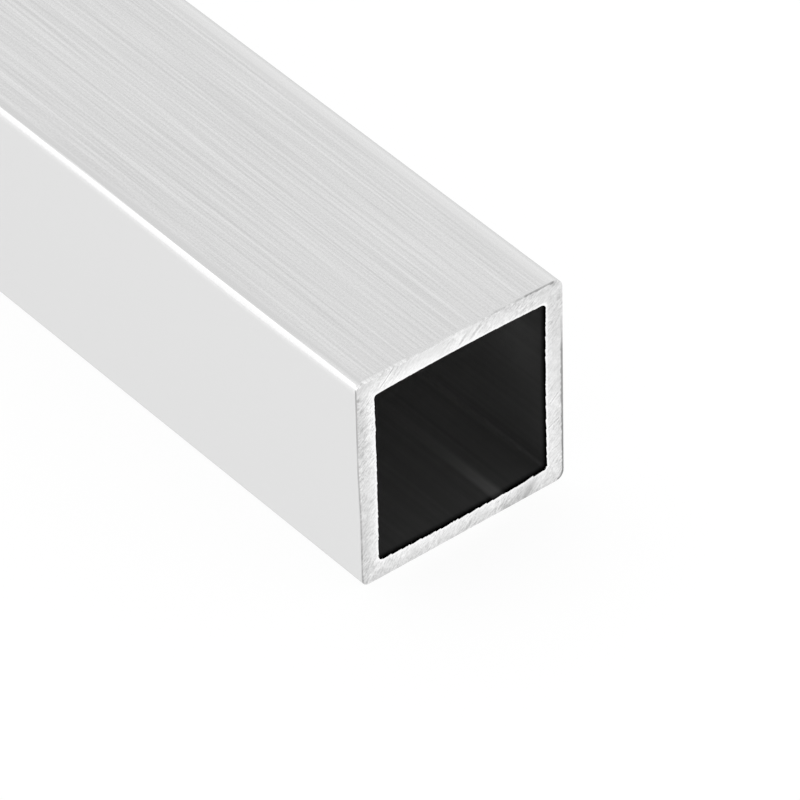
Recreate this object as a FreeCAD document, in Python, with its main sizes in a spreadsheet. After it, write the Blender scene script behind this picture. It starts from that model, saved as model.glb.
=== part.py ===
# Square aluminium tube, cut from extruded stock.
#
# The tube is one piece of metal with the same section from end to end: four flat walls
# of even thickness, softly rounded corners outside and tighter ones in the bore. Both
# ends are sawn square, and the sharp outer edge left by the saw is lightly broken.
#
# Frame: +X runs along the tube and +Z is up. The origin is the middle of the underside,
# so the tube lies on the level surface at Z = 0, as it would be stored.
import FreeCAD, Part
import math
import os

import Sketcher

# Driving sizes in millimetres: the name, the value and what it measures.
DRIVING_SIZES = [
    ("stock_length", 300.0, "cut length of the piece, end to end"),
    ("side", 30.0, "outside width and height of the section"),
    ("wall", 2.5, "thickness of each of the four walls"),
    ("outer_corner", 1.0, "radius of the four outside corners"),
    ("inner_corner", 0.5, "radius of the four corners of the bore"),
    ("edge_break", 0.1, "width of the broken edge round each sawn end"),
]

# The ends of a line or arc, and the sketch's own level axis, as the sketcher counts them.
START, END, HORIZONTAL_AXIS = 1, 2, -1
ORIGIN_POINT = (HORIZONTAL_AXIS, START)


def make_size_sheet(doc):
    """The spreadsheet that the sketch and the features take their sizes from."""
    sheet = doc.addObject("Spreadsheet::Sheet", "sizes")
    for row, (alias, value, meaning) in enumerate(DRIVING_SIZES, start=1):
        sheet.set(f"A{row}", alias)
        sheet.set(f"B{row}", str(value))
        sheet.set(f"C{row}", meaning)
        sheet.setAlias(f"B{row}", alias)
    doc.recompute()
    return sheet


def add_rounded_square(sketch, half_width, middle_height, corner):
    """Draws a square loop with rounded corners. Returns its lines and its first arc.

    The lines are the bottom, right, top and left sides, and an arc follows each one.
    The sizes given here only start the loop near its place: constraints then hold it.
    """
    quarter_turn = math.pi / 2
    straight = half_width - corner
    sides = [
        ((-straight, -half_width), (straight, -half_width)),
        ((half_width, -straight), (half_width, straight)),
        ((straight, half_width), (-straight, half_width)),
        ((-half_width, straight), (-half_width, -straight)),
    ]
    corners = [
        (straight, -straight),
        (straight, straight),
        (-straight, straight),
        (-straight, -straight),
    ]

    def place(point):
        return FreeCAD.Vector(point[0], point[1] + middle_height, 0)

    lines = []
    arcs = []
    for turn, (ends, centre) in enumerate(zip(sides, corners)):
        line = Part.LineSegment(place(ends[0]), place(ends[1]))
        circle = Part.Circle(place(centre), FreeCAD.Vector(0, 0, 1), corner)
        first_angle = (turn - 1) * quarter_turn
        arc = Part.ArcOfCircle(circle, first_angle, first_angle + quarter_turn)
        lines.append(sketch.addGeometry(line))
        arcs.append(sketch.addGeometry(arc))

    for turn, arc in enumerate(arcs):
        line = lines[turn]
        next_line = lines[(turn + 1) % len(lines)]
        sketch.addConstraint(Sketcher.Constraint("Tangent", line, END, arc, START))
        sketch.addConstraint(Sketcher.Constraint("Tangent", arc, END, next_line, START))
    for arc in arcs[1:]:
        sketch.addConstraint(Sketcher.Constraint("Equal", arcs[0], arc))
    for level in (lines[0], lines[2]):
        sketch.addConstraint(Sketcher.Constraint("Horizontal", level))
    for upright in (lines[1], lines[3]):
        sketch.addConstraint(Sketcher.Constraint("Vertical", upright))
    return lines, arcs[0]


def dimension(sketch, name, formula, kind, *geometry_and_value):
    """Adds a named dimension to the sketch and ties it to the size sheet."""
    index = sketch.addConstraint(Sketcher.Constraint(kind, *geometry_and_value))
    sketch.renameConstraint(index, name)
    sketch.setExpression(f"Constraints.{name}", formula)


def draw_section(body, sheet):
    """The section across the tube, as the die shapes it: an outside loop and a bore."""
    sketch = body.newObject("Sketcher::SketchObject", "section")
    across_the_tube = next(
        plane for plane in body.Origin.OriginFeatures if plane.Role == "YZ_Plane"
    )
    sketch.AttachmentSupport = [(across_the_tube, "")]
    sketch.MapMode = "FlatFace"

    side, wall = sheet.side, sheet.wall
    half_side = side / 2
    outside, outer_arc = add_rounded_square(
        sketch, half_side, half_side, sheet.outer_corner
    )
    bore, inner_arc = add_rounded_square(
        sketch, half_side - wall, half_side, sheet.inner_corner
    )
    bottom, right, top, left = outside
    floor, right_wall, ceiling, left_wall = bore

    # The underside lies on the frame's level plane, midway about the frame's upright one.
    sketch.addConstraint(
        Sketcher.Constraint("PointOnObject", bottom, START, HORIZONTAL_AXIS)
    )
    dimension(
        sketch, "half_side", "sizes.side / 2",
        "DistanceX", *ORIGIN_POINT, right, START, half_side,
    )
    dimension(
        sketch, "width", "sizes.side", "DistanceX", left, START, right, START, side
    )
    dimension(
        sketch, "height", "sizes.side", "DistanceY", bottom, START, top, START, side
    )
    dimension(
        sketch, "outer_corner", "sizes.outer_corner",
        "Radius", outer_arc, sheet.outer_corner,
    )

    # The bore is set in from each side by the same wall.
    for name, kind, low_line, high_line in (
        ("bottom_wall", "DistanceY", bottom, floor),
        ("top_wall", "DistanceY", ceiling, top),
        ("left_wall", "DistanceX", left, left_wall),
        ("right_wall", "DistanceX", right_wall, right),
    ):
        dimension(
            sketch, name, "sizes.wall", kind, low_line, START, high_line, START, wall
        )
    dimension(
        sketch, "inner_corner", "sizes.inner_corner",
        "Radius", inner_arc, sheet.inner_corner,
    )
    return sketch


def extrude(body, section):
    """Pushes the section out along X, the same length each way from the origin."""
    pad = body.newObject("PartDesign::Pad", "extrusion")
    pad.Profile = section
    pad.SideType = "Symmetric"
    pad.setExpression("Length", "sizes.stock_length")
    return pad


def sawn_ends(shape):
    """The two flat faces that look along the tube, one at each end."""
    return [
        face
        for face in shape.Faces
        if isinstance(face.Surface, Part.Plane) and round(abs(face.Surface.Axis.x)) == 1
    ]


def outer_end_edges(shape):
    """Names of the edges round the outside of the two sawn ends."""
    names = []
    for face in sawn_ends(shape):
        for edge in face.OuterWire.Edges:
            for number, candidate in enumerate(shape.Edges, start=1):
                if candidate.isSame(edge):
                    names.append(f"Edge{number}")
    return names


def break_end_edges(body, pad):
    """Takes the sharp burr off the outer edge of both sawn ends."""
    chamfer = body.newObject("PartDesign::Chamfer", "broken_end_edges")
    chamfer.Base = (pad, outer_end_edges(pad.Shape))
    chamfer.setExpression("Size", "sizes.edge_break")
    body.Tip = chamfer
    return chamfer


def make_square_tube(doc, sheet):
    """The whole tube: section, extrusion and sawn ends."""
    body = doc.addObject("PartDesign::Body", "square_tube")
    body.Label = "square_tube"
    section = draw_section(body, sheet)
    doc.recompute()
    pad = extrude(body, section)
    doc.recompute()
    break_end_edges(body, pad)
    doc.recompute()
    return body


def check_document(doc, sub_parts):
    """Stops the script if any object failed or any sub-part is not a sound solid."""
    failed = [
        obj.Name
        for obj in doc.Objects
        if "Invalid" in obj.State or "Error" in obj.State
    ]
    if failed:
        raise RuntimeError(f"these objects failed to build: {failed}")
    for part in sub_parts:
        if part.Shape.isNull() or not part.Shape.isValid() or not part.Shape.Solids:
            raise RuntimeError(f"{part.Label} is not a valid solid")


def export_parts(sub_parts):
    """Writes one STEP file for each sub-part and prints its volume and extents."""
    os.makedirs("parts", exist_ok=True)
    for part in sub_parts:
        part.Shape.exportStep(f"parts/{part.Label}.step")
        box = part.Shape.BoundBox
        print(
            f"{part.Label}: {part.Shape.Volume:.1f} mm3,"
            f" {box.XLength:.2f} x {box.YLength:.2f} x {box.ZLength:.2f} mm"
        )


document = FreeCAD.newDocument("square_tube_stock")
size_sheet = make_size_sheet(document)
tube_parts = [make_square_tube(document, size_sheet)]
check_document(document, tube_parts)
export_parts(tube_parts)
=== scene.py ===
import math

import bpy
import numpy as np
from mathutils import Matrix, Vector


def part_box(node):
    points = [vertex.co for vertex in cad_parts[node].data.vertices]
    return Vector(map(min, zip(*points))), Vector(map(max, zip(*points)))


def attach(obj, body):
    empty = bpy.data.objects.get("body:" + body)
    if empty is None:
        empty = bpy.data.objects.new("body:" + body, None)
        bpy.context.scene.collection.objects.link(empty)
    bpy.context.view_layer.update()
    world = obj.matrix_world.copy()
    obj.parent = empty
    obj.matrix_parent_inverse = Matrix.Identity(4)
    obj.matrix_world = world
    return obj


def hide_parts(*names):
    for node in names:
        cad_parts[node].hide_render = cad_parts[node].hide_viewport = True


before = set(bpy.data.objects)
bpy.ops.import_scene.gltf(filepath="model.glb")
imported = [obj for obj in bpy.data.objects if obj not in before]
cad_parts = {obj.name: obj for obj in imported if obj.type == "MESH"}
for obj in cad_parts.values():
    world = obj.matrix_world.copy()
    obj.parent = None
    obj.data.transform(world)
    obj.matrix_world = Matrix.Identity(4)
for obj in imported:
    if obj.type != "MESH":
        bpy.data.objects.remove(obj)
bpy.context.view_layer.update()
tube_low, tube_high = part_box("square_tube")
bpy.context.scene.view_settings.view_transform = "Standard"
MM = 0.001


# The camera: a long lens a little under a metre away, so that the tube's edges run almost
# parallel. It looks down from the left of the sawn end, and it is tipped by a degree or so,
# as a camera held for a product picture often is.
CAMERA_ROUND = math.radians(51.88)
CAMERA_ABOVE = math.radians(40.04)
CAMERA_TIPPED = math.radians(-1.436)
CAMERA_AWAY = 894.8 * MM
CAMERA_LENS = 350.0
AIM_INTO_TUBE = 12.2 * MM
AIM_PAST_MIDDLE = 0.65 * MM
AIM_HEIGHT = 11.67 * MM
CAMERA_SEES_FROM = 0.01
CAMERA_SEES_TO = 50.0

toward_camera = Vector(
    (
        math.sin(CAMERA_ROUND) * math.cos(CAMERA_ABOVE),
        -math.cos(CAMERA_ROUND) * math.cos(CAMERA_ABOVE),
        math.sin(CAMERA_ABOVE),
    )
)
level_right = Vector((0, 0, 1)).cross(toward_camera).normalized()
level_up = toward_camera.cross(level_right)
tipped = Matrix.Rotation(CAMERA_TIPPED, 3, toward_camera)
camera_right = tipped @ level_right
camera_up = tipped @ level_up
aim = Vector((tube_high.x - AIM_INTO_TUBE, AIM_PAST_MIDDLE, AIM_HEIGHT))

camera_data = bpy.data.cameras.new("camera")
camera_data.lens = CAMERA_LENS
camera_data.clip_start = CAMERA_SEES_FROM
camera_data.clip_end = CAMERA_SEES_TO
camera = bpy.data.objects.new("camera", camera_data)
bpy.context.scene.collection.objects.link(camera)
camera.matrix_world = Matrix.Translation(aim + toward_camera * CAMERA_AWAY) @ (
    Matrix((camera_right, camera_up, toward_camera)).transposed().to_4x4()
)
bpy.context.scene.camera = camera


# The tube: aluminium pushed through a die, so that fine lines run along its skin, then
# sawn off square. The saw leaves arcs across the end, a torn burr round the bore's mouth
# and a sharp outer edge, which is lightly broken. The bore is left as the die made it.
SIDE = tube_high.z - tube_low.z
HALF_SIDE = SIDE / 2
HALF_LENGTH = (tube_high.x - tube_low.x) / 2
WALL = 2.49 * MM
EDGE_BREAK = 0.1 * MM
CREASE = 0.01 * MM
FLAT_COLUMNS = 250
CORNER_COLUMNS = 14
WALL_COLUMNS = FLAT_COLUMNS + CORNER_COLUMNS
COLUMN_COUNT = 4 * WALL_COLUMNS
SKIN_STATIONS = 14
NEAR_END_ROWS = 32
FAR_END_ROWS = 6

# Where single loops lie: back from the skin's near end, and into the bore from its mouth.
EDGE_BACK = (0.50 * MM, 0.32 * MM, 0.20 * MM, 0.10 * MM)
BORE_DEPTHS = tuple(depth * MM for depth in (0.3, 0.8, 1.1, 5, 7, 10, 18, 26, 40))

# The corners in the order they are met: bottom right, top right, top left and bottom left.
# The die's far top corner is worn rounder than the rest.
OUTER_CORNERS = (1.25 * MM, 1.5 * MM, 0.95 * MM, 1.0 * MM)
INNER_CORNERS = (0.45 * MM, 0.7 * MM, 0.55 * MM, 0.75 * MM)


def section_loop(half, corners):
    """Points round a square with rounded corners, about the middle of the section.

    It starts on the bottom wall and turns from +Y to +Z. Every loop has the same columns,
    so the loops of the skin, the sawn ends and the bore join one to the next.
    """
    turn = np.linspace(0, math.pi / 2, CORNER_COLUMNS, endpoint=False)
    y, z = [], []
    for wall in range(4):
        facing = (wall - 1) * math.pi / 2
        out = np.array((math.cos(facing), math.sin(facing)))
        forward = np.array((-out[1], out[0]))
        corner = corners[wall]
        start, stop = corners[wall - 1] - half, half - corner
        along = np.linspace(start, stop, FLAT_COLUMNS, endpoint=False)
        flat = out[:, None] * half + forward[:, None] * along
        centre = (out + forward)[:, None] * stop
        bend = centre + corner * np.array((np.cos(facing + turn), np.sin(facing + turn)))
        y.extend((*flat[0], *bend[0]))
        z.extend((*flat[1], *bend[1]))
    return np.array((y, z))


# The die lines: shallow grooves along the skin, each with its own width, depth and reach,
# and with a lip along both sides. They are so long that most of them outrun the piece.
DIE_LINES = 420
DIE_LINE_WIDTH = (0.16 * MM, 0.40 * MM)
DIE_LINE_DEPTH = 0.009 * MM
DIE_LINE_REACH = (30 * MM, 300 * MM)
maker = np.random.default_rng(11)

skin_loop = section_loop(HALF_SIDE, OUTER_CORNERS)
loop_steps = np.hypot(*(np.roll(skin_loop, -1, axis=1) - skin_loop))
round_the_skin = np.concatenate(([0], np.cumsum(loop_steps)[:-1]))
GIRTH = loop_steps.sum()
die_lines = (
    maker.uniform(0, GIRTH, DIE_LINES),
    np.geomspace(*DIE_LINE_WIDTH, DIE_LINES),
    maker.uniform(0, 1, DIE_LINES) * DIE_LINE_DEPTH,
    maker.uniform(-HALF_LENGTH, HALF_LENGTH, DIE_LINES),
    maker.uniform(*DIE_LINE_REACH, DIE_LINES),
)


def die_line_depth(x):
    """How deep the die lines are at each column of the skin, at x along the tube."""
    depth = np.zeros(len(round_the_skin))
    for place, width, deep, middle, reach in zip(*die_lines):
        apart = np.abs(round_the_skin - place)
        apart = np.minimum(apart, GIRTH - apart)
        fade = math.exp(-(((x - middle) / reach) ** 2))
        across = (apart / width) ** 2
        depth += deep * fade * (1 - 2 * across) * np.exp(-across)
    return depth


# The burr: metal torn over the bore's mouth as each tooth leaves the cut. It is worst on the
# bottom wall, where the saw broke through, and it stands less on the sides. What differs from
# wall to wall is given here and below in the order bottom, right, top and left.
BURR_TOOTH = (4, 17)
BURR_HEIGHT = (0.2, 1)
BURR_REACH = (0.25 * MM, 0.13 * MM, 0.06 * MM, 0.12 * MM)


def torn_edge(columns):
    """A ragged line, from 0 to 1: each torn tooth rises slowly and ends in a step."""
    rise = []
    while len(rise) < columns:
        length = int(maker.integers(*BURR_TOOTH))
        height = maker.uniform(*BURR_HEIGHT)
        rise.extend(height * (np.arange(length) + 1) / length)
    return np.array(rise[:columns])


# The bore is not quite square: the die lets its top and bottom bow out and its sides in,
# and its core sits a little off the middle. A bowed wall crosses its own straight line where
# the square of the way along it is the value given, from 0 in the middle to 1 at a corner.
BOW_UP = 0.27 * MM
BOW_DOWN = 0.34 * MM
BOW_IN = 0.09 * MM
OUTWARD_BOW_CROSSES = 0.43
INWARD_BOW_CROSSES = 1 / 3
CORE_SHIFT = np.array(((-0.08 * MM,), (-0.01 * MM,)))


def bowed_bore():
    """The bore's section, with its slight bow."""
    half = HALF_SIDE - WALL
    y, z = section_loop(half, INNER_CORNERS)
    across = np.clip(np.abs(y) / half, 0, 1)
    upward = np.clip(np.abs(z) / half, 0, 1)
    bow = np.where(z > 0, BOW_UP, BOW_DOWN)
    bowed = np.array(
        (
            y - y / half * BOW_IN * (INWARD_BOW_CROSSES - upward**2),
            z + z / half * bow * (OUTWARD_BOW_CROSSES - across**2),
        )
    )
    return bowed + CORE_SHIFT


def inward(loop):
    """The way into the section at each column of a loop."""
    ahead = np.roll(loop, -1, axis=1) - np.roll(loop, 1, axis=1)
    way = np.array((-ahead[1], ahead[0]))
    return way / np.hypot(*way)


def between(value, low, high):
    """Rises from 0 at low to 1 at high, evenly, and stays there. High may be the lower one."""
    return np.clip((value - low) / (high - low), 0, 1)


CORNER_BLEND = 3 * CORNER_COLUMNS


def by_wall(*values):
    """A value for each column from one for each wall, blended across the corners."""
    each = np.repeat(values, WALL_COLUMNS)
    padded = np.concatenate((each[-CORNER_BLEND:], each, each[:CORNER_BLEND]))
    window = 2 * CORNER_BLEND + 1
    smooth = np.convolve(padded, np.ones(window) / window, mode="same")
    return smooth[CORNER_BLEND:-CORNER_BLEND]


# A spot on the end is given by its middle, across and up from the middle of the section, and
# then by how far it reaches across and up.
def nearness(y, z, middle_y, middle_z, reach_y, reach_z):
    """How near places are to a spot's middle: 1 on it, and 0 far off."""
    apart = ((y - middle_y) / reach_y) ** 2 + ((z - middle_z) / reach_z) ** 2
    return np.exp(-apart)


# The saw leaves the end duller along its outer edge and brighter toward the bore, by an
# amount that differs from wall to wall. The far part of the top is duller than the rest.
OUTER_SHINE = (0.28, 0.38, 0.45, 0.06)
INNER_SHINE = (0.82, 0.58, 0.93, 0.80)
SHINE_RISES = (0.12, 0.85)
DULLER_BY = 0.42
DULL_PART_ACROSS = (-1 * MM, 10 * MM)
DULL_PART_UP = (6 * MM, 10 * MM)

# Spots that came out of the cut brighter than the rest of their wall, and by how much.
BRIGHT_PATCHES = (
    (-14.8 * MM, -0.5 * MM, 0.55 * MM, 4.5 * MM, 0.30),
    (-2.0 * MM, 14.8 * MM, 5.5 * MM, 0.35 * MM, 0.26),
    (-7.0 * MM, 13.0 * MM, 4.0 * MM, 0.6 * MM, 0.24),
    (13.2 * MM, -4.5 * MM, 0.7 * MM, 4.0 * MM, 0.14),
    (-6.5 * MM, -13.1 * MM, 4.0 * MM, 0.6 * MM, 0.12),
    (5.5 * MM, -13.0 * MM, 2.0 * MM, 0.5 * MM, 0.10),
)


def sawn_shine(y, z, row):
    """How bright the sawn end is at places across its walls, mostly from 0 to 1."""
    across = between(row, *SHINE_RISES)
    shine = by_wall(*OUTER_SHINE) * (1 - across) + by_wall(*INNER_SHINE) * across
    dull_part = between(y, *DULL_PART_ACROSS) * between(z, *DULL_PART_UP)
    shine = shine * (1 - DULLER_BY * dull_part)
    for *spot, brighter in BRIGHT_PATCHES:
        shine = shine + brighter * nearness(y, z, *spot)
    return shine


# How deep the saw's marks are on each wall, and the spots where they are shallower, by how
# much of their depth.
MARK_DEPTHS = (0.92, 0.80, 0.86, 1.30)
SMOOTH_PLACES = (
    (-5.0 * MM, 14.0 * MM, 5.0 * MM, 1.6 * MM, 0.55),
    (-14.2 * MM, 14.2 * MM, 1.4 * MM, 1.4 * MM, 0.60),
    (-13.8 * MM, -4.0 * MM, 1.6 * MM, 8.0 * MM, 0.50),
    (13.7 * MM, 3.0 * MM, 1.6 * MM, 5.5 * MM, 0.50),
    (-4.0 * MM, -13.7 * MM, 5.0 * MM, 1.6 * MM, 0.20),
)


def mark_depth(y, z):
    """How deep the saw's marks are at places on the end."""
    depth = by_wall(*MARK_DEPTHS)
    for *spot, shallower in SMOOTH_PLACES:
        depth = depth * (1 - shallower * nearness(y, z, *spot))
    return depth


# Painted shade lies in the broken edge as dark lines: down the left of the near end, down
# its right and along the last of its top. Places along it are measured from the middle of
# the section, and places across it into the section's outline. One that is below 0 across
# is on the skin, that far back from the end. Each line of painted shade wavers as it goes, and
# takes in the columns of the section that are as near its outside as the first two values say.
NEAR_SQUARE_EDGE = 0.6 * MM
NEAR_ROUND_EDGE = 0.9 * MM
FINE_WAVER = 4
LONG_WAVER = 14
edge_maker = np.random.default_rng(5)


def ragged(count, period):
    """A wavering line from 0 to 1, with its knots that many columns apart."""
    knots = edge_maker.uniform(0, 1, count // period + 2)
    return np.interp(np.arange(count) / period, np.arange(len(knots)), knots)


rag_fine = ragged(COLUMN_COUNT, FINE_WAVER)
rag_long = ragged(COLUMN_COUNT, LONG_WAVER)

# The left line of painted shade is thin. Its upper half is darker and lies further onto
# the skin.
LEFT_DARKNESS = 0.34
LEFT_UPPER = (-5 * MM, 2 * MM)
LEFT_UPPER_DARKER = 0.12
LEFT_TOP = (8 * MM, 13 * MM)
LEFT_TOP_DARKER = 0.16
LEFT_STARTS = (-14.7 * MM, -14.0 * MM)
LEFT_STOPS = (14.4 * MM, 14.0 * MM)
LEFT_WAVER = 0.5
LEFT_INTO_END = 0.05 * MM
LEFT_UPPER_ONTO_SKIN = 0.18 * MM
LEFT_OUTER_SIDE = (-0.14 * MM, -0.05 * MM)
LEFT_INNER_SIDE = (0.15 * MM, 0.06 * MM)


def left_line(y, z, inside):
    """How dark the line down the left of the end is."""
    upper = between(z, *LEFT_UPPER)
    dark = LEFT_DARKNESS + LEFT_UPPER_DARKER * upper + LEFT_TOP_DARKER * between(z, *LEFT_TOP)
    dark = np.where(y < -HALF_SIDE + NEAR_SQUARE_EDGE, dark, 0) * between(z, *LEFT_STOPS)
    dark = dark * between(z, *LEFT_STARTS) * (1 - LEFT_WAVER / 2 + LEFT_WAVER * rag_long)
    inside = inside + LEFT_UPPER_ONTO_SKIN * upper - LEFT_INTO_END
    return dark * between(inside, *LEFT_OUTER_SIDE) * between(inside, *LEFT_INNER_SIDE)


# The right line of painted shade is the darkest. It is wider on its upper part and darker
# on its lower part.
RIGHT_DARKNESS = 0.57
RIGHT_LOW = (-4 * MM, -10 * MM)
RIGHT_LOW_DARKER = 0.08
RIGHT_STOPS = (9.6 * MM, 4.5 * MM)
RIGHT_WIDTH = 0.21 * MM
RIGHT_WIDENS = (-9 * MM, -4 * MM)
RIGHT_WIDER = 0.08 * MM
RIGHT_WAVER = 0.13 * MM
RIGHT_OUTER_SIDE = (0.08 * MM, 0.15 * MM)
RIGHT_INNER_SIDE = (0.09 * MM, 0)


def right_line(y, z, inside):
    """How dark the line down the right of the end is."""
    dark = np.where(y > HALF_SIDE - NEAR_ROUND_EDGE, 1.0, 0) * between(z, *RIGHT_STOPS)
    dark = dark * (RIGHT_DARKNESS + RIGHT_LOW_DARKER * between(z, *RIGHT_LOW))
    width = RIGHT_WIDTH + RIGHT_WIDER * between(z, *RIGHT_WIDENS) + RIGHT_WAVER * rag_fine
    beyond = inside - width
    return dark * between(inside, *RIGHT_OUTER_SIDE) * between(beyond, *RIGHT_INNER_SIDE)


# The top line of painted shade is faint and broken along the middle, and dark over its last
# millimetres, where it lies further into the end and stops in a blot.
TOP_FAINT = 0.22
TOP_FAINT_STARTS = (1 * MM, 4 * MM)
TOP_FAINT_BREAKS = (0.35, 0.75)
TOP_DARK_FROM = 9.2 * MM
TOP_DARK_TO = 13.8 * MM
TOP_DARK_STARTS = (TOP_DARK_FROM, TOP_DARK_FROM + 0.3 * MM)
TOP_DARK_STOPS = (TOP_DARK_TO, TOP_DARK_TO - 0.2 * MM)
TOP_DARKNESS = 0.38
TOP_DARK_WAVER = 0.20
TOP_BLOT = (TOP_DARK_TO - 0.8 * MM, TOP_DARK_TO - 0.5 * MM)
TOP_BLOT_DARKER = 0.16
TOP_INTO_END = 0.10 * MM
TOP_WIDTH = 0.02 * MM
TOP_WIDTH_WAVER = 0.12 * MM
TOP_BLOT_WIDER = 0.10 * MM
TOP_OUTER_SIDE = (-0.14 * MM, -0.03 * MM)
TOP_INNER_SIDE = (0.07 * MM, 0)


def top_line(y, z, inside):
    """How dark the line along the top of the end is."""
    faint = TOP_FAINT * between(y, *TOP_FAINT_STARTS) * between(rag_long, *TOP_FAINT_BREAKS)
    blot = between(y, *TOP_BLOT)
    dark = TOP_DARKNESS + TOP_DARK_WAVER * rag_long + TOP_BLOT_DARKER * blot
    dark = np.maximum(faint, between(y, *TOP_DARK_STARTS) * dark) * between(y, *TOP_DARK_STOPS)
    dark = np.where(z > HALF_SIDE - NEAR_SQUARE_EDGE, dark, 0)
    inside = inside - TOP_INTO_END * between(y, TOP_DARK_FROM, TOP_DARK_TO)
    width = TOP_WIDTH + TOP_WIDTH_WAVER * rag_fine + TOP_BLOT_WIDER * blot
    beyond = inside - width
    return dark * between(inside, *TOP_OUTER_SIDE) * between(beyond, *TOP_INNER_SIDE)


# The bottom edge is a trace darker too.
UNDER_DARKNESS = 0.015
UNDER_INNER_SIDE = (0.6 * MM, 0.2 * MM)


def edge_darkness(y, z, inside):
    """How dark the outer edge of the end is, at a distance inside the section's outline: the
    painted shade of its lines, and the trace along its bottom.
    """
    under = np.where(z < -HALF_SIDE + NEAR_ROUND_EDGE, UNDER_DARKNESS, 0)
    under = under * between(inside, *UNDER_INNER_SIDE)
    lines = (line(y, z, inside) for line in (left_line, right_line, top_line))
    return np.maximum.reduce((*lines, under))


# The near part of the top edge is chipped, and the chips carry a painted glint. CHIP_ON_SKIN
# says how much of a chip there is at each of the skin's last loops, and CHIP_ON_END over which
# part of the wall its glint stops.
CHIPPED_FROM = -14.7 * MM
CHIPPED_TO = -7.5 * MM
CHIP_SIZE = (0.14 * MM, 0.40 * MM)
CHIP_STEP = (0.35 * MM, 0.95 * MM)
CHIP_BRIGHTNESS = (0.5, 1.0)
CHIP_DEPTH = 0.10 * MM
CHIP_SHINE = 1.5
CHIP_ON_SKIN = (0.1, 0.85, 1, 1)
CHIP_ON_END = (0.05, 0.02)


def edge_chips(y, z):
    """Where the outer edge of the end is chipped, with its painted glint, from 0 to 1."""
    chips = np.zeros(len(y))
    middle = CHIPPED_FROM
    while middle < CHIPPED_TO:
        size = edge_maker.uniform(*CHIP_SIZE)
        bright = edge_maker.uniform(*CHIP_BRIGHTNESS)
        chips = np.maximum(chips, bright * np.exp(-(((y - middle) / size) ** 2)))
        middle += edge_maker.uniform(*CHIP_STEP)
    return np.where(z > HALF_SIDE - NEAR_SQUARE_EDGE, chips, 0)


# Smears of grime on the end, along the saw's marks: the place, the length and width of each,
# and how dark it is.
SMEARS = (
    (9.4 * MM, -14.5 * MM, 1.2 * MM, 0.52 * MM, 0.28),
    (10.2 * MM, -13.4 * MM, 1.2 * MM, 0.45 * MM, 0.16),
    (7.6 * MM, -14.5 * MM, 3.0 * MM, 0.90 * MM, 0.23),
    (5.9 * MM, -14.0 * MM, 0.7 * MM, 0.34 * MM, 0.24),
    (6.5 * MM, -14.6 * MM, 1.2 * MM, 0.40 * MM, 0.08),
    (0.9 * MM, -14.0 * MM, 0.4 * MM, 0.20 * MM, 0.28),
    (0.4 * MM, -14.5 * MM, 0.5 * MM, 0.20 * MM, 0.20),
    (-13.8 * MM, -12.9 * MM, 1.0 * MM, 0.50 * MM, 0.12),
    (-12.3 * MM, -14.0 * MM, 0.8 * MM, 0.40 * MM, 0.12),
    (-15.0 * MM, 12.7 * MM, 0.40 * MM, 0.32 * MM, 0.42),
    (-14.4 * MM, 11.0 * MM, 0.32 * MM, 0.20 * MM, 0.32),
    (-14.4 * MM, 8.3 * MM, 0.35 * MM, 0.20 * MM, 0.32),
    (-14.4 * MM, 5.5 * MM, 0.40 * MM, 0.18 * MM, 0.32),
    (-14.65 * MM, 4.4 * MM, 0.35 * MM, 0.18 * MM, 0.26),
    (-13.2 * MM, 2.0 * MM, 0.22 * MM, 0.13 * MM, 0.20),
    (-13.3 * MM, -2.8 * MM, 0.28 * MM, 0.15 * MM, 0.15),
    (-14.0 * MM, -4.4 * MM, 0.22 * MM, 0.15 * MM, 0.12),
    (-13.3 * MM, -7.7 * MM, 0.22 * MM, 0.13 * MM, 0.15),
    (-13.8 * MM, -11.9 * MM, 0.35 * MM, 0.22 * MM, 0.10),
    (13.6 * MM, 14.5 * MM, 0.22 * MM, 0.20 * MM, 0.23),
    (13.5 * MM, 12.8 * MM, 0.30 * MM, 0.18 * MM, 0.11),
    (13.7 * MM, 10.7 * MM, 0.35 * MM, 0.20 * MM, 0.14),
    (13.9 * MM, 9.9 * MM, 0.32 * MM, 0.15 * MM, 0.14),
    (13.1 * MM, 9.3 * MM, 0.50 * MM, 0.13 * MM, 0.12),
)
SMEAR_TURN = math.radians(36)


def smeared(y, z):
    """How dark the smears are at places on the end."""
    dark = np.zeros(len(y))
    for middle_y, middle_z, length, width, strength in SMEARS:
        along = (y - middle_y) * math.cos(SMEAR_TURN) + (z - middle_z) * math.sin(SMEAR_TURN)
        beside = (z - middle_z) * math.cos(SMEAR_TURN) - (y - middle_y) * math.sin(SMEAR_TURN)
        dark += strength * nearness(along, beside, 0, 0, length, width)
    return dark


# A painted highlight lies along the near top corner, in a band that wanders a little along
# it and fades out down the side in a painted glow. The band's borders are measured down from
# the top. By the near end it is narrower, and the top's own edge has a painted highlight too.
HIGHLIGHT_PERIOD = 56 * MM
HIGHLIGHT_LOWEST = 23 * MM
HIGHLIGHT_UPPER = 0.27 * MM
HIGHLIGHT_UPPER_WANDERS = 0.08 * MM
HIGHLIGHT_UPPER_SOFT = (-0.04 * MM, 0.02 * MM)
HIGHLIGHT_LOWER = 1.06 * MM
HIGHLIGHT_LOWER_WANDERS = 0.17 * MM
HIGHLIGHT_LOWER_SOFT = (0.06 * MM, -0.12 * MM)
HIGHLIGHT_FADE = 1.05 * MM
HIGHLIGHT_FADE_SOFT = 0.2 * MM
HIGHLIGHT_GLOW = 0.5
HIGHLIGHT_NEAR_END = (10 * MM, 7 * MM)
HIGHLIGHT_NARROWER = 0.06 * MM
EDGE_HIGHLIGHT = 0.45
EDGE_HIGHLIGHT_STARTS = (0.03 * MM, 0.12 * MM)
EDGE_HIGHLIGHT_STOPS = (0.4 * MM, 0.2 * MM)
HIGHLIGHT_ACROSS = 2 * MM


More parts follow.
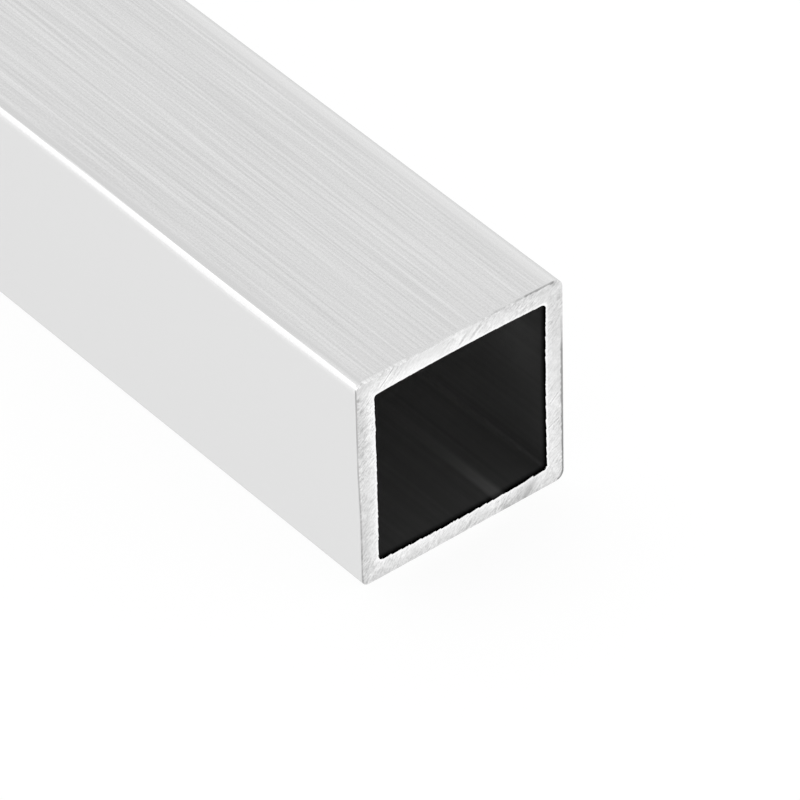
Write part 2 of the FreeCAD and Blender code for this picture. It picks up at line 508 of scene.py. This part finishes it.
def corner_highlight(x, y, z):
    """How bright the painted highlight is about the near top corner, at x along the tube."""
    wander = math.cos(2 * math.pi * (HALF_LENGTH - HIGHLIGHT_LOWEST - x) / HIGHLIGHT_PERIOD)
    near_end = between(x, *(HALF_LENGTH - back for back in HIGHLIGHT_NEAR_END))
    upper = HIGHLIGHT_UPPER + HIGHLIGHT_UPPER_WANDERS * wander
    lower = HIGHLIGHT_LOWER + HIGHLIGHT_LOWER_WANDERS * wander - HIGHLIGHT_NARROWER * near_end
    down = np.where(y < HIGHLIGHT_ACROSS - HALF_SIDE, HALF_SIDE - z, -1)
    band = between(down, *(upper + soft for soft in HIGHLIGHT_UPPER_SOFT))
    band = band * between(down, *(lower + soft for soft in HIGHLIGHT_LOWER_SOFT))
    # A painted glow fades out below the highlight.
    halo = between(down, lower + HIGHLIGHT_FADE, lower) ** 2
    halo = halo * between(down, lower - HIGHLIGHT_FADE_SOFT, lower)
    edge_glint = near_end * between(down, *EDGE_HIGHLIGHT_STARTS) * between(down, *EDGE_HIGHLIGHT_STOPS)
    return np.maximum.reduce((band, HIGHLIGHT_GLOW * halo, EDGE_HIGHLIGHT * edge_glint))


# The die lines show on the top, between a plain band along each of its edges, and a little
# less on the far side and the underside. A painted reflection makes a strip beside the far
# edge brighter, and painted shade makes the far corner a little darker, more so on its rounding.
FACE_STARTS = (HALF_SIDE - 0.4 * MM, HALF_SIDE - 0.1 * MM)
PLAIN_FAR_BAND = (HALF_SIDE - 2.55 * MM, HALF_SIDE - 2.85 * MM)
PLAIN_NEAR_BAND = (0.85 * MM - HALF_SIDE, 1.4 * MM - HALF_SIDE)
LINES_ON_HIDDEN_SIDES = 0.8
FAR_PAINTED_REFLECTION = 0.27
FAR_STRIP_STARTS = (12.7 * MM, 12.85 * MM)
FAR_STRIP_STOPS = (14.2 * MM, 13.5 * MM)
FAR_CORNER_PAINTED_SHADE = ((0.05, 13.5 * MM, 13.8 * MM), (0.08, 14.2 * MM, 14.5 * MM))
FAR_CORNER_HEIGHT = (HALF_SIDE - 1.9 * MM, HALF_SIDE - 1.1 * MM)


def skin_look(y, z):
    """How strong the die lines are, how bright the painted reflection on the far strip is, and
    how dark the painted shade on the far corner is.
    """
    on_top = between(z, *FACE_STARTS)
    lined = on_top * between(y, *PLAIN_FAR_BAND) * between(y, *PLAIN_NEAR_BAND)
    hidden = np.maximum(between(y, *FACE_STARTS), between(-z, *FACE_STARTS))
    lined = np.maximum(lined, LINES_ON_HIDDEN_SIDES * hidden)
    # A painted reflection brightens the strip by the far edge, and painted shade darkens the far
    # corner.
    strip = FAR_PAINTED_REFLECTION * between(y, *FAR_STRIP_STARTS) * between(y, *FAR_STRIP_STOPS) * on_top
    dark = sum(darker * between(y, *across) for darker, *across in FAR_CORNER_PAINTED_SHADE)
    return lined, strip, dark * between(z, *FAR_CORNER_HEIGHT)


# Some light falls into the bore: a stripe along its floor, in a long faint part and a short
# bright one, and a patch on its right wall. It is darkest just inside the mouth.
MOUTH_DARK = (0.6 * MM, 0.9 * MM)
MOUTH_LEVEL = 0.36
BRIGHTENS_OVER = 24 * MM
STRIPE_STARTS = (4.3 * MM, 4.9 * MM)
STRIPE_STOPS = (6.4 * MM, 5.7 * MM)
STRIPE_ON_FLOOR = (0, -1 * MM)
LONG_STRIPE = 0.2
LONG_STRIPE_DEPTH = (30 * MM, 9 * MM)
SHORT_STRIPE = 0.6
SHORT_STRIPE_DEPTH = (11 * MM, 4 * MM)
LIT_WALL = 0.35
LIT_WALL_ACROSS = (12 * MM, 12.3 * MM)
LIT_WALL_STARTS = (-2 * MM, 4 * MM)
LIT_WALL_STOPS = (11 * MM, 6 * MM)
LIT_WALL_DEPTH = (18 * MM, 6 * MM)
LIT_WALL_CLEARS_MOUTH = (0.9 * MM, 2 * MM)


def bore_look(y, z, depth):
    """How bright the bore is at a depth, and how much its stripe and its lit wall add."""
    level = MOUTH_LEVEL + (1 - MOUTH_LEVEL) * between(depth, 0, BRIGHTENS_OVER)
    level = between(depth, *MOUTH_DARK) * level
    stripe = between(y, *STRIPE_STARTS) * between(y, *STRIPE_STOPS) * between(z, *STRIPE_ON_FLOOR)
    long_stripe = LONG_STRIPE * between(depth, *LONG_STRIPE_DEPTH)
    short_stripe = SHORT_STRIPE * between(depth, *SHORT_STRIPE_DEPTH)
    wall = between(y, *LIT_WALL_ACROSS) * between(z, *LIT_WALL_STARTS) * between(z, *LIT_WALL_STOPS)
    wall = LIT_WALL * wall * between(depth, *LIT_WALL_DEPTH)
    wall = wall * between(depth, *LIT_WALL_CLEARS_MOUTH)
    return level, stripe * (long_stripe + short_stripe) + wall


# The three materials by number, and how much the end's rows crowd toward the wall's edges.
SKIN, SAWN, BORE = range(3)
ROWS_CROWD = 0.1


def tube_loops():
    """Every loop of the tube in order, down the skin, over each end and through the bore.

    Each is a row of points, the material of the band after it, and four values for the
    materials: a level, its grime and painted shade, its tone and painted light, and its marks.
    The level is how strong the die lines are on the skin, how far across the wall a place is on
    the end, and how bright it is in the bore. The tone and painted light is the painted
    highlight on the skin, the end's tone with the painted glint of its chips, and the painted
    light in the bore. The marks are the saw's.
    """
    bore_loop = bowed_bore()
    inner_edge = section_loop(
        HALF_SIDE - EDGE_BREAK, [corner - EDGE_BREAK for corner in OUTER_CORNERS]
    )
    skin_end = HALF_LENGTH - EDGE_BREAK
    loops = []
    none = np.zeros(COLUMN_COUNT)

    def add(x, loop, material, level, grime_and_shade=0, tone_and_painted_light=0, marks=0):
        points = np.stack((none + x, loop[0], loop[1] + HALF_SIDE), axis=1)
        values = (none + value for value in (level, grime_and_shade, tone_and_painted_light, marks))
        loops.append((points, material, *values))

    # The skin, with its loops closer together toward the ends.
    y, z = skin_loop
    lined, far_reflection, far_corner_shade = skin_look(y, z)
    spread = np.linspace(-1, 1, 2 * SKIN_STATIONS + 1)
    stations = np.sign(spread) * skin_end * (1 - (1 - np.abs(spread)) ** 2)
    stations[-1] = skin_end - EDGE_BACK[0]
    for x in stations:
        grooved = skin_loop + inward(skin_loop) * die_line_depth(x)
        # The painted highlight along the near top corner, and the painted reflection on the far
        # strip.
        painted_highlight = np.maximum(far_reflection, corner_highlight(x, y, z))
        add(x, grooved, SKIN, lined, far_corner_shade, painted_highlight)

    # The near edge, with the painted shade of its lines and the painted glint of its chips.
    shine = sawn_shine(y, z, 0)
    chips = edge_chips(y, z)
    depth = mark_depth(y, z)
    notch = inward(skin_loop) * chips * CHIP_DEPTH
    for back, chipped in zip((*EDGE_BACK[1:], CREASE), CHIP_ON_SKIN):
        # Painted shade darkens the edge's lines here, and a painted glint brightens the chips.
        grime_and_shade = np.maximum(far_corner_shade, edge_darkness(y, z, -back))
        painted_highlight = np.maximum(painted_highlight, chipped * chips)
        add(skin_end - back, grooved + chipped * notch, SKIN, 0, grime_and_shade, painted_highlight)
    shine = np.maximum(shine, CHIP_SHINE * chips)
    add(skin_end, grooved + notch, SAWN, 0, edge_darkness(y, z, 0), shine, depth)

    # The near end, from its outer edge to the torn mouth of the bore.
    torn = np.concatenate([torn_edge(WALL_COLUMNS) * reach for reach in BURR_REACH])
    mouth_loop = bore_loop + inward(bore_loop) * torn
    even = np.linspace(0, 1, NEAR_END_ROWS + 1)
    for row in even - ROWS_CROWD * np.sin(2 * math.pi * even):
        loop = (inner_edge + notch) * (1 - row) + mouth_loop * row
        inside = EDGE_BREAK + row * (WALL - EDGE_BREAK)
        # Painted shade darkens the edge's lines, grime darkens the smears, and a painted glint
        # brightens the chips.
        grime_and_shade = np.maximum(edge_darkness(y, z, inside), smeared(*loop))
        tone_and_painted_light = CHIP_SHINE * chips * between(row, *CHIP_ON_END)
        tone_and_painted_light = np.maximum(tone_and_painted_light, sawn_shine(*loop, row))
        add(HALF_LENGTH, loop, SAWN, row, grime_and_shade, tone_and_painted_light, mark_depth(*loop))

    # The bore, and the far end, whose mouth is torn in the same way.
    add(HALF_LENGTH - CREASE, mouth_loop, BORE, 0)
    for depth in BORE_DEPTHS:
        level, lit = bore_look(*bore_loop, depth)
        add(HALF_LENGTH - depth, bore_loop, BORE, level, 0, lit)
    for depth in BORE_DEPTHS[::-1]:
        add(depth - HALF_LENGTH, bore_loop, BORE, 1)
    add(CREASE - HALF_LENGTH, mouth_loop, BORE, 0)
    for row in np.linspace(1, 0, FAR_END_ROWS + 1):
        loop = inner_edge * (1 - row) + mouth_loop * row
        add(-HALF_LENGTH, loop, SAWN, row, 0, sawn_shine(*loop, row), mark_depth(*loop))
    return loops


loops = tube_loops()
points = np.concatenate([loop[0] for loop in loops])
here = np.arange(len(points)).reshape(len(loops), COLUMN_COUNT)
beside = np.roll(here, -1, axis=1)
faces = np.stack((here, beside, np.roll(beside, -1, axis=0), np.roll(here, -1, axis=0)), axis=2)
faces = faces.reshape(-1, 4)

SHARP_ANGLE = math.radians(30)
tube_mesh = bpy.data.meshes.new("square_tube_metal")
tube_mesh.from_pydata(points.tolist(), [], faces.tolist())
band_material = np.repeat([loop[1] for loop in loops], COLUMN_COUNT)
tube_mesh.polygons.foreach_set("material_index", band_material.astype(np.int32))
tube_mesh.polygons.foreach_set("use_smooth", np.ones(len(faces), bool))

# A loop holds its points, its material and then these four values.
for place, name in enumerate(("level", "grime_and_shade", "tone_and_painted_light", "marks"), start=2):
    values = np.concatenate([loop[place] for loop in loops]).astype(np.float32)
    tube_mesh.attributes.new(name, "FLOAT", "POINT").data.foreach_set("value", values)
tube_mesh.set_sharp_from_angle(angle=SHARP_ANGLE)
tube_mesh.validate()
tube_mesh.update()


# The tube's three materials come next. The noise in them lies mostly within this span.
NOISE_SPAN = (0.3, 0.7)


def wire(tree, source, socket):
    """Joins an output to an input, or sets the input where it is given a plain value."""
    if isinstance(source, bpy.types.NodeSocket):
        tree.links.new(source, socket)
    else:
        socket.default_value = source


def node(tree, kind, settings=None, **inputs):
    """Adds a node, with its settings, and fills the inputs that are named."""
    made = tree.nodes.new(kind)
    for name, value in (settings or {}).items():
        setattr(made, name, value)
    for name, value in inputs.items():
        wire(tree, value, made.inputs[int(name[1:]) if name[0] == "_" else name.replace("_", " ")])
    return made


def maths(tree, operation, *values):
    """One step of arithmetic on values or outputs. Returns the result's output."""
    inputs = {f"_{place}": value for place, value in enumerate(values)}
    return node(tree, "ShaderNodeMath", {"operation": operation}, **inputs).outputs[0]


def stretch(tree, value, low, high, to_low, to_high):
    """Carries the range low to high over to another, and holds it within that."""
    inputs = {"_1": low, "_2": high, "_3": to_low, "_4": to_high}
    return node(tree, "ShaderNodeMapRange", _0=value, **inputs).outputs[0]


def stored(tree, name):
    """The output of a value stored on the mesh."""
    return node(tree, "ShaderNodeAttribute", {"attribute_name": name}).outputs["Fac"]


def noise(tree, vector, scale=1.0, detail=2.0, roughness=0.6):
    """The output of a noise texture."""
    inputs = {"Vector": vector, "Scale": scale, "Detail": detail, "Roughness": roughness}
    return node(tree, "ShaderNodeTexNoise", **inputs).outputs[0]


def grey(tree, value):
    """A grey colour of the given value."""
    return node(tree, "ShaderNodeCombineColor", _0=value, _1=value, _2=value).outputs[0]


def metal(name, **plain):
    """An empty material with a Principled BSDF, whose plain values are set on its sockets."""
    material = bpy.data.materials.new(name)
    material.use_nodes = True
    shader = material.node_tree.nodes["Principled BSDF"]
    for socket, value in plain.items():
        shader.inputs[socket.replace("_", " ")].default_value = value
    return material, material.node_tree, shader


def new_group(name, inputs, outputs):
    """An empty node group of plain numbers. Returns it with its two ends."""
    group = bpy.data.node_groups.new(name, "ShaderNodeTree")
    for way, names in (("INPUT", inputs), ("OUTPUT", outputs)):
        for socket in names:
            group.interface.new_socket(name=socket, in_out=way, socket_type="NodeSocketFloat")
    given = group.nodes.new("NodeGroupInput").outputs
    handed = group.nodes.new("NodeGroupOutput").inputs
    return group, given, handed


# Die lines as the skin and the bore both show them: streaks along X that are far longer
# than they are wide, from coarse to fine.
die_line_group, given, handed = new_group("die_lines", ("Line Width", "Line Length"), ("Height",))
tree = die_line_group
place = node(tree, "ShaderNodeTexCoord").outputs["Object"]
parts = node(tree, "ShaderNodeSeparateXYZ", _0=place).outputs
stretched = node(
    tree,
    "ShaderNodeCombineXYZ",
    _0=maths(tree, "DIVIDE", parts[0], given[1]),
    _1=maths(tree, "DIVIDE", parts[1], given[0]),
    _2=maths(tree, "DIVIDE", parts[2], given[0]),
).outputs[0]
wire(tree, noise(tree, stretched), handed[0])


def die_line_height(tree, width, length):
    """Places the die lines in a material, with their own width and length there."""
    sizes = {"Line_Width": width, "Line_Length": length}
    return node(tree, "ShaderNodeGroup", {"node_tree": die_line_group}, **sizes).outputs[0]


# The skin as the mill leaves it: satin aluminium with a fine grain, whose die lines show as
# streaks and as a shallow relief. A painted highlight makes it brighter, with a few marks of
# its own, and painted shade makes it darker.
SKIN_TONE = 0.782
HIGHLIGHT_TONE = 0.99
SKIN_TINT = (0.85, 0.85, 0.85, 1)
SKIN_ROUGHNESS = 0.22
SKIN_GRAIN_SCALE = 3500.0
SKIN_GRAIN = 0.085
HIGHLIGHT_MARKS = (0, 0.5, 0.0, 0.07)
SKIN_LINE_SIZE = (0.37 * MM, 30 * MM)
SKIN_LINE_TONE = 0.075
SKIN_LINE_RELIEF = 0.010 * MM

skin_metal, tree, shader = metal(
    "mill_finish_skin", Metallic=1.0, Roughness=SKIN_ROUGHNESS, Specular_Tint=SKIN_TINT
)
lines = die_line_height(tree, *SKIN_LINE_SIZE)
bump = node(tree, "ShaderNodeBump", Strength=1.0, Distance=SKIN_LINE_RELIEF, Height=lines)
wire(tree, bump.outputs[0], shader.inputs["Normal"])
place = node(tree, "ShaderNodeTexCoord").outputs["Object"]
grain = stretch(tree, noise(tree, place, SKIN_GRAIN_SCALE), *NOISE_SPAN, -0.5, 0.5)
# A painted highlight brightens the skin by the value stored for it.
highlighted_tone = stretch(tree, stored(tree, "tone_and_painted_light"), 0, 1, SKIN_TONE, HIGHLIGHT_TONE)
marked = maths(tree, "MULTIPLY", grain, stretch(tree, stored(tree, "tone_and_painted_light"), *HIGHLIGHT_MARKS))
highlighted_tone = maths(tree, "ADD", highlighted_tone, marked)
streak = stretch(tree, lines, *NOISE_SPAN, -SKIN_LINE_TONE, SKIN_LINE_TONE)
streak = maths(tree, "ADD", maths(tree, "MULTIPLY", grain, SKIN_GRAIN), streak)
streak = maths(tree, "MULTIPLY", streak, stored(tree, "level"))
# Painted shade darkens the skin by the value stored for it.
clean_and_unshaded = maths(tree, "SUBTRACT", 1.0, stored(tree, "grime_and_shade"))
tone = maths(tree, "MULTIPLY", maths(tree, "ADD", highlighted_tone, streak), clean_and_unshaded)
wire(tree, grey(tree, tone), shader.inputs["Base Color"])

# The saw: a toothed disc that came down through the tube, so its marks are arcs about an
# axle well below and to the right of it. They are deeper in some places than in others.
SAW_AXLE = (110 * MM, -105 * MM)
SAW_RADIUS = 160 * MM
SAWN_ROUGHNESS = 0.4

# The end's tone where it has no shine, and where the painted glint of a chip makes it brightest.
DULL = 0.635
BRIGHTEST = 1.055

# The marks drawn out along the arcs: the width, the length and the detail of each kind.
FEED_MARKS = (0.26 * MM, 0.9 * MM, 2.5)
LONG_MARKS = (0.20 * MM, 9.0 * MM, 1.0)
WIDE_MARKS = (1.1 * MM, 2.4 * MM, 2.0)
FEED_MARK_RELIEF = 0.02 * MM
PIT_SCALE = 4200.0
PATCH_SCALE = 700.0
PATCH_DETAIL = 4.0
DEEPER_PARTS = (300.0, 1.0, 0.5)

# What each kind of mark does to the tone: the span of its noise, and the change over it. The
# torn rim has a span across the wall instead, and DEEPER_BY is a factor on marks and pits.
FEED_MARK_TONE = (0.28, 0.62, -0.16, 0.12)
PIT_TONE = (*NOISE_SPAN, -0.08, 0.08)
WIDE_MARK_TONE = (*NOISE_SPAN, -0.035, 0.03)
PATCH_TONE = (*NOISE_SPAN, -0.05, 0.05)
LONG_MARK_TONE = (0.68, 0.74, 0, 0.12)
DEEPER_BY = (0.36, 0.64, 0.7, 1.3)
TORN_RIM_TONE = (0.86, 0.95, 0, 0.22)

sawn_metal, tree, shader = metal("sawn_end", Metallic=1.0, Roughness=SAWN_ROUGHNESS)
place = node(tree, "ShaderNodeTexCoord").outputs["Object"]
parts = node(tree, "ShaderNodeSeparateXYZ", _0=place).outputs
right_of_axle = maths(tree, "SUBTRACT", parts[1], SAW_AXLE[0])
above_axle = maths(tree, "SUBTRACT", parts[2], SAW_AXLE[1])
reach = maths(
    tree,
    "SQRT",
    maths(
        tree,
        "ADD",
        maths(tree, "MULTIPLY", right_of_axle, right_of_axle),
        maths(tree, "MULTIPLY", above_axle, above_axle),
    ),
)
round_axle = maths(tree, "MULTIPLY", maths(tree, "ARCTAN2", above_axle, right_of_axle), SAW_RADIUS)


def saw_marks(width, length, detail):
    """Noise drawn out along the saw's arcs."""
    drawn_out = node(
        tree,
        "ShaderNodeCombineXYZ",
        _0=maths(tree, "DIVIDE", reach, width),
        _1=maths(tree, "DIVIDE", round_axle, length),
        _2=0.0,
    ).outputs[0]
    return noise(tree, drawn_out, detail=detail)


# Single deep scratches on the near end: where each starts and stops, in millimetres from
# the lower left corner of the section's outline, its width, and how dark it is.
SCRATCHES = (
    (14.6, 28.0, 15.9, 29.1, 0.24, 0.16),
    (16.2, 28.0, 18.1, 29.5, 0.26, 0.18),
    (3.2, 27.9, 5.3, 29.9, 0.14, 0.27),
    (22.8, 28.7, 24.3, 29.6, 0.11, 0.12),
    (27.8, 12.1, 29.3, 13.4, 0.14, 0.22),
    (27.6, 8.7, 29.4, 9.5, 0.15, 0.20),
    (28.0, 5.1, 29.2, 5.4, 0.14, 0.12),
)
SCRATCH_FADE = 0.3
LIP_AWAY = 1.5
LIP_SHINE = 0.5


def scratch(start_y, start_z, stop_y, stop_z, width):
    """Where one scratch lies, from 0 to 1, and below 0 on the lips beside it."""
    run, rise = stop_y - start_y, stop_z - start_z
    length = math.hypot(run, rise)
    way = (0, run / length, rise / length)
    start = (0, start_y * MM - HALF_SIDE, start_z * MM)
    from_start = node(tree, "ShaderNodeVectorMath", {"operation": "SUBTRACT"}, _0=place, _1=start)
    along, beside = (
        node(
            tree,
            "ShaderNodeVectorMath",
            {"operation": "DOT_PRODUCT"},
            _0=from_start.outputs[0],
            _1=direction,
        ).outputs["Value"]
        for direction in (way, (0, -way[2], way[1]))
    )
    beside = maths(tree, "ABSOLUTE", beside)
    mask = stretch(tree, beside, width * MM, 0, 0, 1)
    lip = maths(tree, "ABSOLUTE", maths(tree, "SUBTRACT", beside, LIP_AWAY * width * MM))
    lip = stretch(tree, lip, width * MM, 0, 0, LIP_SHINE)
    mask = maths(tree, "SUBTRACT", mask, lip)
    faded_in = stretch(tree, along, 0, SCRATCH_FADE * MM, 0, 1)
    faded_out = stretch(tree, along, length * MM, (length - SCRATCH_FADE) * MM, 0, 1)
    return maths(tree, "MULTIPLY", mask, maths(tree, "MULTIPLY", faded_in, faded_out))


feed_marks = saw_marks(*FEED_MARKS)
pits = noise(tree, place, PIT_SCALE)
patches = noise(tree, place, PATCH_SCALE, PATCH_DETAIL)
deeper = stretch(tree, noise(tree, place, *DEEPER_PARTS), *DEEPER_BY)
deeper = maths(tree, "MULTIPLY", deeper, stored(tree, "marks"))
feed_mark_tone = maths(tree, "MULTIPLY", stretch(tree, feed_marks, *FEED_MARK_TONE), deeper)
pit_tone = maths(tree, "MULTIPLY", stretch(tree, pits, *PIT_TONE), deeper)
tone = stretch(tree, stored(tree, "tone_and_painted_light"), 0, CHIP_SHINE, DULL, BRIGHTEST)
for change in (
    feed_mark_tone,
    pit_tone,
    stretch(tree, saw_marks(*WIDE_MARKS), *WIDE_MARK_TONE),
    stretch(tree, patches, *PATCH_TONE),
    stretch(tree, saw_marks(*LONG_MARKS), *LONG_MARK_TONE),
):
    tone = maths(tree, "ADD", tone, change)
for *ends_and_width, darkness in SCRATCHES:
    darker = maths(tree, "MULTIPLY", scratch(*ends_and_width), darkness)
    tone = maths(tree, "SUBTRACT", tone, darker)
torn_rim = stretch(tree, stored(tree, "level"), *TORN_RIM_TONE)
tone = maths(tree, "MINIMUM", maths(tree, "ADD", tone, torn_rim), 1.0)
# Painted shade along the edge's lines, and grime in the smears, darken the end.
clean_and_unshaded = maths(tree, "SUBTRACT", 1.0, stored(tree, "grime_and_shade"))
wire(tree, grey(tree, maths(tree, "MULTIPLY", tone, clean_and_unshaded)), shader.inputs["Base Color"])
bump = node(tree, "ShaderNodeBump", Strength=1.0, Distance=FEED_MARK_RELIEF, Height=feed_marks)
wire(tree, bump.outputs[0], shader.inputs["Normal"])

# The bore is the same metal, left as the die made it. It is dark, because little light gets
# in, and its die lines are coarse and faint.
BORE_ROUGHNESS = 0.5
BORE_LINE_SIZE = (0.8 * MM, 80 * MM)
BORE_TONE = (*NOISE_SPAN, 0.49, 0.57)
BORE_LIT_TONE = 0.24

bore_metal, tree, shader = metal("bore", Metallic=1.0, Roughness=BORE_ROUGHNESS)
lines = die_line_height(tree, *BORE_LINE_SIZE)
tone = maths(tree, "MULTIPLY", stored(tree, "level"), stretch(tree, lines, *BORE_TONE))
lit = maths(tree, "MULTIPLY", stored(tree, "tone_and_painted_light"), BORE_LIT_TONE)
wire(tree, grey(tree, maths(tree, "ADD", tone, lit)), shader.inputs["Base Color"])

for material in (skin_metal, sawn_metal, bore_metal):
    tube_mesh.materials.append(material)
tube = bpy.data.objects.new("square_tube_metal", tube_mesh)
bpy.context.scene.collection.objects.link(tube)
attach(tube, "root")
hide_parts("square_tube")


# The floor and the light: a white studio sweep. A darker panel hangs over the tube's left,
# so that the top mirrors its edge, and a soft box stands low on that side, where it lights
# the near top corner. The camera itself sees plain white behind them.
FLOOR_REACH = 20.0
FLOOR_GLOW = 0.88
FLOOR_MATT = 0.15
floor_mesh = bpy.data.meshes.new("studio_floor")
floor_corners = [
    (x * FLOOR_REACH, y * FLOOR_REACH, tube_low.z)
    for x, y in ((-1, -1), (1, -1), (1, 1), (-1, 1))
]
floor_mesh.from_pydata(floor_corners, [], [(0, 1, 2, 3)])
floor = bpy.data.objects.new("studio_floor", floor_mesh)
bpy.context.scene.collection.objects.link(floor)

floor_paint = bpy.data.materials.new("studio_floor")
floor_paint.use_nodes = True
tree = floor_paint.node_tree
tree.nodes.remove(tree.nodes["Principled BSDF"])
matt = node(tree, "ShaderNodeBsdfDiffuse", Color=(FLOOR_MATT, FLOOR_MATT, FLOOR_MATT, 1))
glow = node(tree, "ShaderNodeEmission", Color=(FLOOR_GLOW, FLOOR_GLOW, FLOOR_GLOW, 1), Strength=1.0)
lit = node(tree, "ShaderNodeAddShader", _0=matt.outputs[0], _1=glow.outputs[0])
wire(tree, lit.outputs[0], tree.nodes["Material Output"].inputs["Surface"])
floor_mesh.materials.append(floor_paint)

AIR = 1.0
PANEL = 0.84
PANEL_EDGE = (-0.165, 0.045)
PANEL_WAY = (0.0, -0.808, 0.589)
SOFT_BOX = 1.4
SOFT_BOX_EDGE = (0.86, 1.0)
SOFT_BOX_WAY = (-0.62, -0.784, 0.03)

world = bpy.data.worlds.new("studio")
bpy.context.scene.world = world
world.use_nodes = True
tree = world.node_tree
direction = node(tree, "ShaderNodeTexCoord").outputs["Generated"]
toward_panel = node(
    tree, "ShaderNodeVectorMath", {"operation": "DOT_PRODUCT"}, _0=direction, _1=PANEL_WAY
).outputs["Value"]
toward_box = node(
    tree, "ShaderNodeVectorMath", {"operation": "DOT_PRODUCT"}, _0=direction, _1=SOFT_BOX_WAY
).outputs["Value"]
light = stretch(tree, toward_panel, *PANEL_EDGE, AIR, PANEL)
box_light = stretch(tree, toward_box, *SOFT_BOX_EDGE, 0, SOFT_BOX - PANEL)
box_light.node.interpolation_type = "SMOOTHSTEP"
light = maths(tree, "ADD", light, box_light)
path = node(tree, "ShaderNodeLightPath")
light = maths(tree, "MAXIMUM", light, path.outputs["Is Camera Ray"])
wire(tree, grey(tree, light), tree.nodes["Background"].inputs["Color"])
